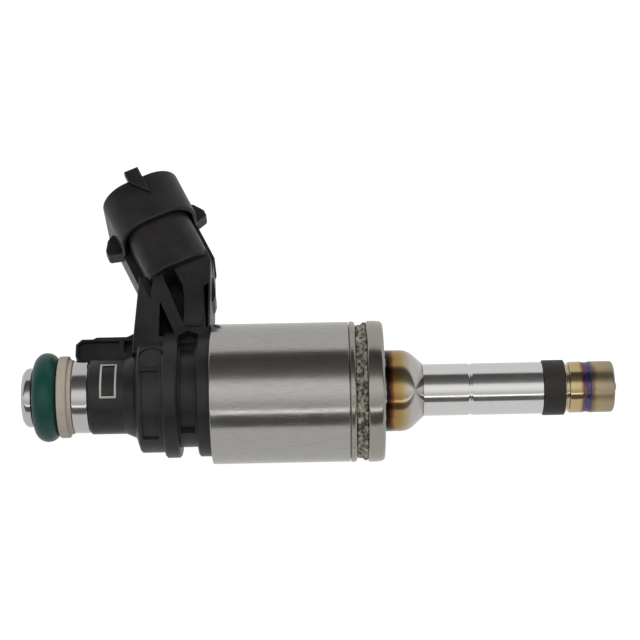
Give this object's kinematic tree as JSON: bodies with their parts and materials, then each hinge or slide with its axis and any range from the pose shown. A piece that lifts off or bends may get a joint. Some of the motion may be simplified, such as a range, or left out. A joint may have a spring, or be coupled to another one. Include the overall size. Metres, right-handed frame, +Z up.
{
  "type": "fuel injector",
  "caption": "Solenoid fuel injector for direct petrol injection, with a sealed rail inlet, a leaning electrical connector, a steel coil housing and a long thin nozzle.",
  "frame": {"origin": "on the injector's axis, at the tip-side face of the flange", "axes": "+X along the axis towards the nozzle tip, +Y to the side the connector stands on, +Z up as the injector lies on its side, out of the face with the label field"},
  "size_m": [0.0877, 0.0455, 0.0208],
  "materials": {
    "polished_steel": "polished stainless steel",
    "stainless": "ground stainless steel",
    "spring_steel": "drawn spring wire",
    "green_rubber": "satin fluoro rubber",
    "grey_plastic": "warm grey moulded plastic",
    "black_plastic": "satin glass-filled plastic",
    "contact_metal": "tinned bronze",
    "brushed_steel": "turned and brushed steel",
    "magnetic_steel": "turned soft-magnetic steel",
    "bobbin_plastic": "moulded plastic",
    "copper_wire": "enamelled copper wire",
    "weld_metal": "rough laser weld",
    "turned_steel": "turned steel with a heat-tinted boss",
    "seal_ptfe": "filled fluoropolymer",
    "tinted_steel": "heat-tinted steel",
    "tinted_weld": "heat-tinted weld",
    "hard_steel": "hardened polished steel"
  },
  "bodies": {
    "injector": {"inlet_tube": "polished_steel", "inlet_filter": "stainless", "adjusting_sleeve": "stainless", "closing_spring": "spring_steel", "rail_o_ring": "green_rubber", "backup_ring": "grey_plastic", "connector_housing": "black_plastic", "terminal_upper": "contact_metal", "terminal_lower": "contact_metal", "solenoid_housing": "brushed_steel", "cover_washer": "magnetic_steel", "coil_bobbin": "bobbin_plastic", "coil_winding": "copper_wire", "valve_sleeve": "stainless", "inner_pole": "magnetic_steel", "spacer_ring": "brushed_steel", "housing_weld": "weld_metal", "valve_body": "turned_steel", "nozzle_tube": "polished_steel", "combustion_seal": "seal_ptfe", "valve_seat": "tinted_steel", "tip_weld": "tinted_weld", "guide_ring": "stainless"},
    "needle_group": {"needle": "stainless", "needle_ball": "hard_steel", "stop_ring": "stainless", "stop_sleeve": "stainless", "armature_spring": "spring_steel"},
    "armature": {"armature": "magnetic_steel"}
  },
  "joints": [
    {"name": "needle_lift", "type": "slide", "parent": "injector", "child": "needle_group", "axis": [-1, 0, 0], "range_m": [0, 0.00008], "stiffness_N_per_m": 20000, "deforming": ["closing_spring"]},
    {"name": "armature_free_travel", "type": "slide", "parent": "needle_group", "child": "armature", "axis": [-1, 0, 0], "range_m": [0, 0.00004], "stiffness_N_per_m": 3000, "deforming": ["armature_spring"]}
  ]
}
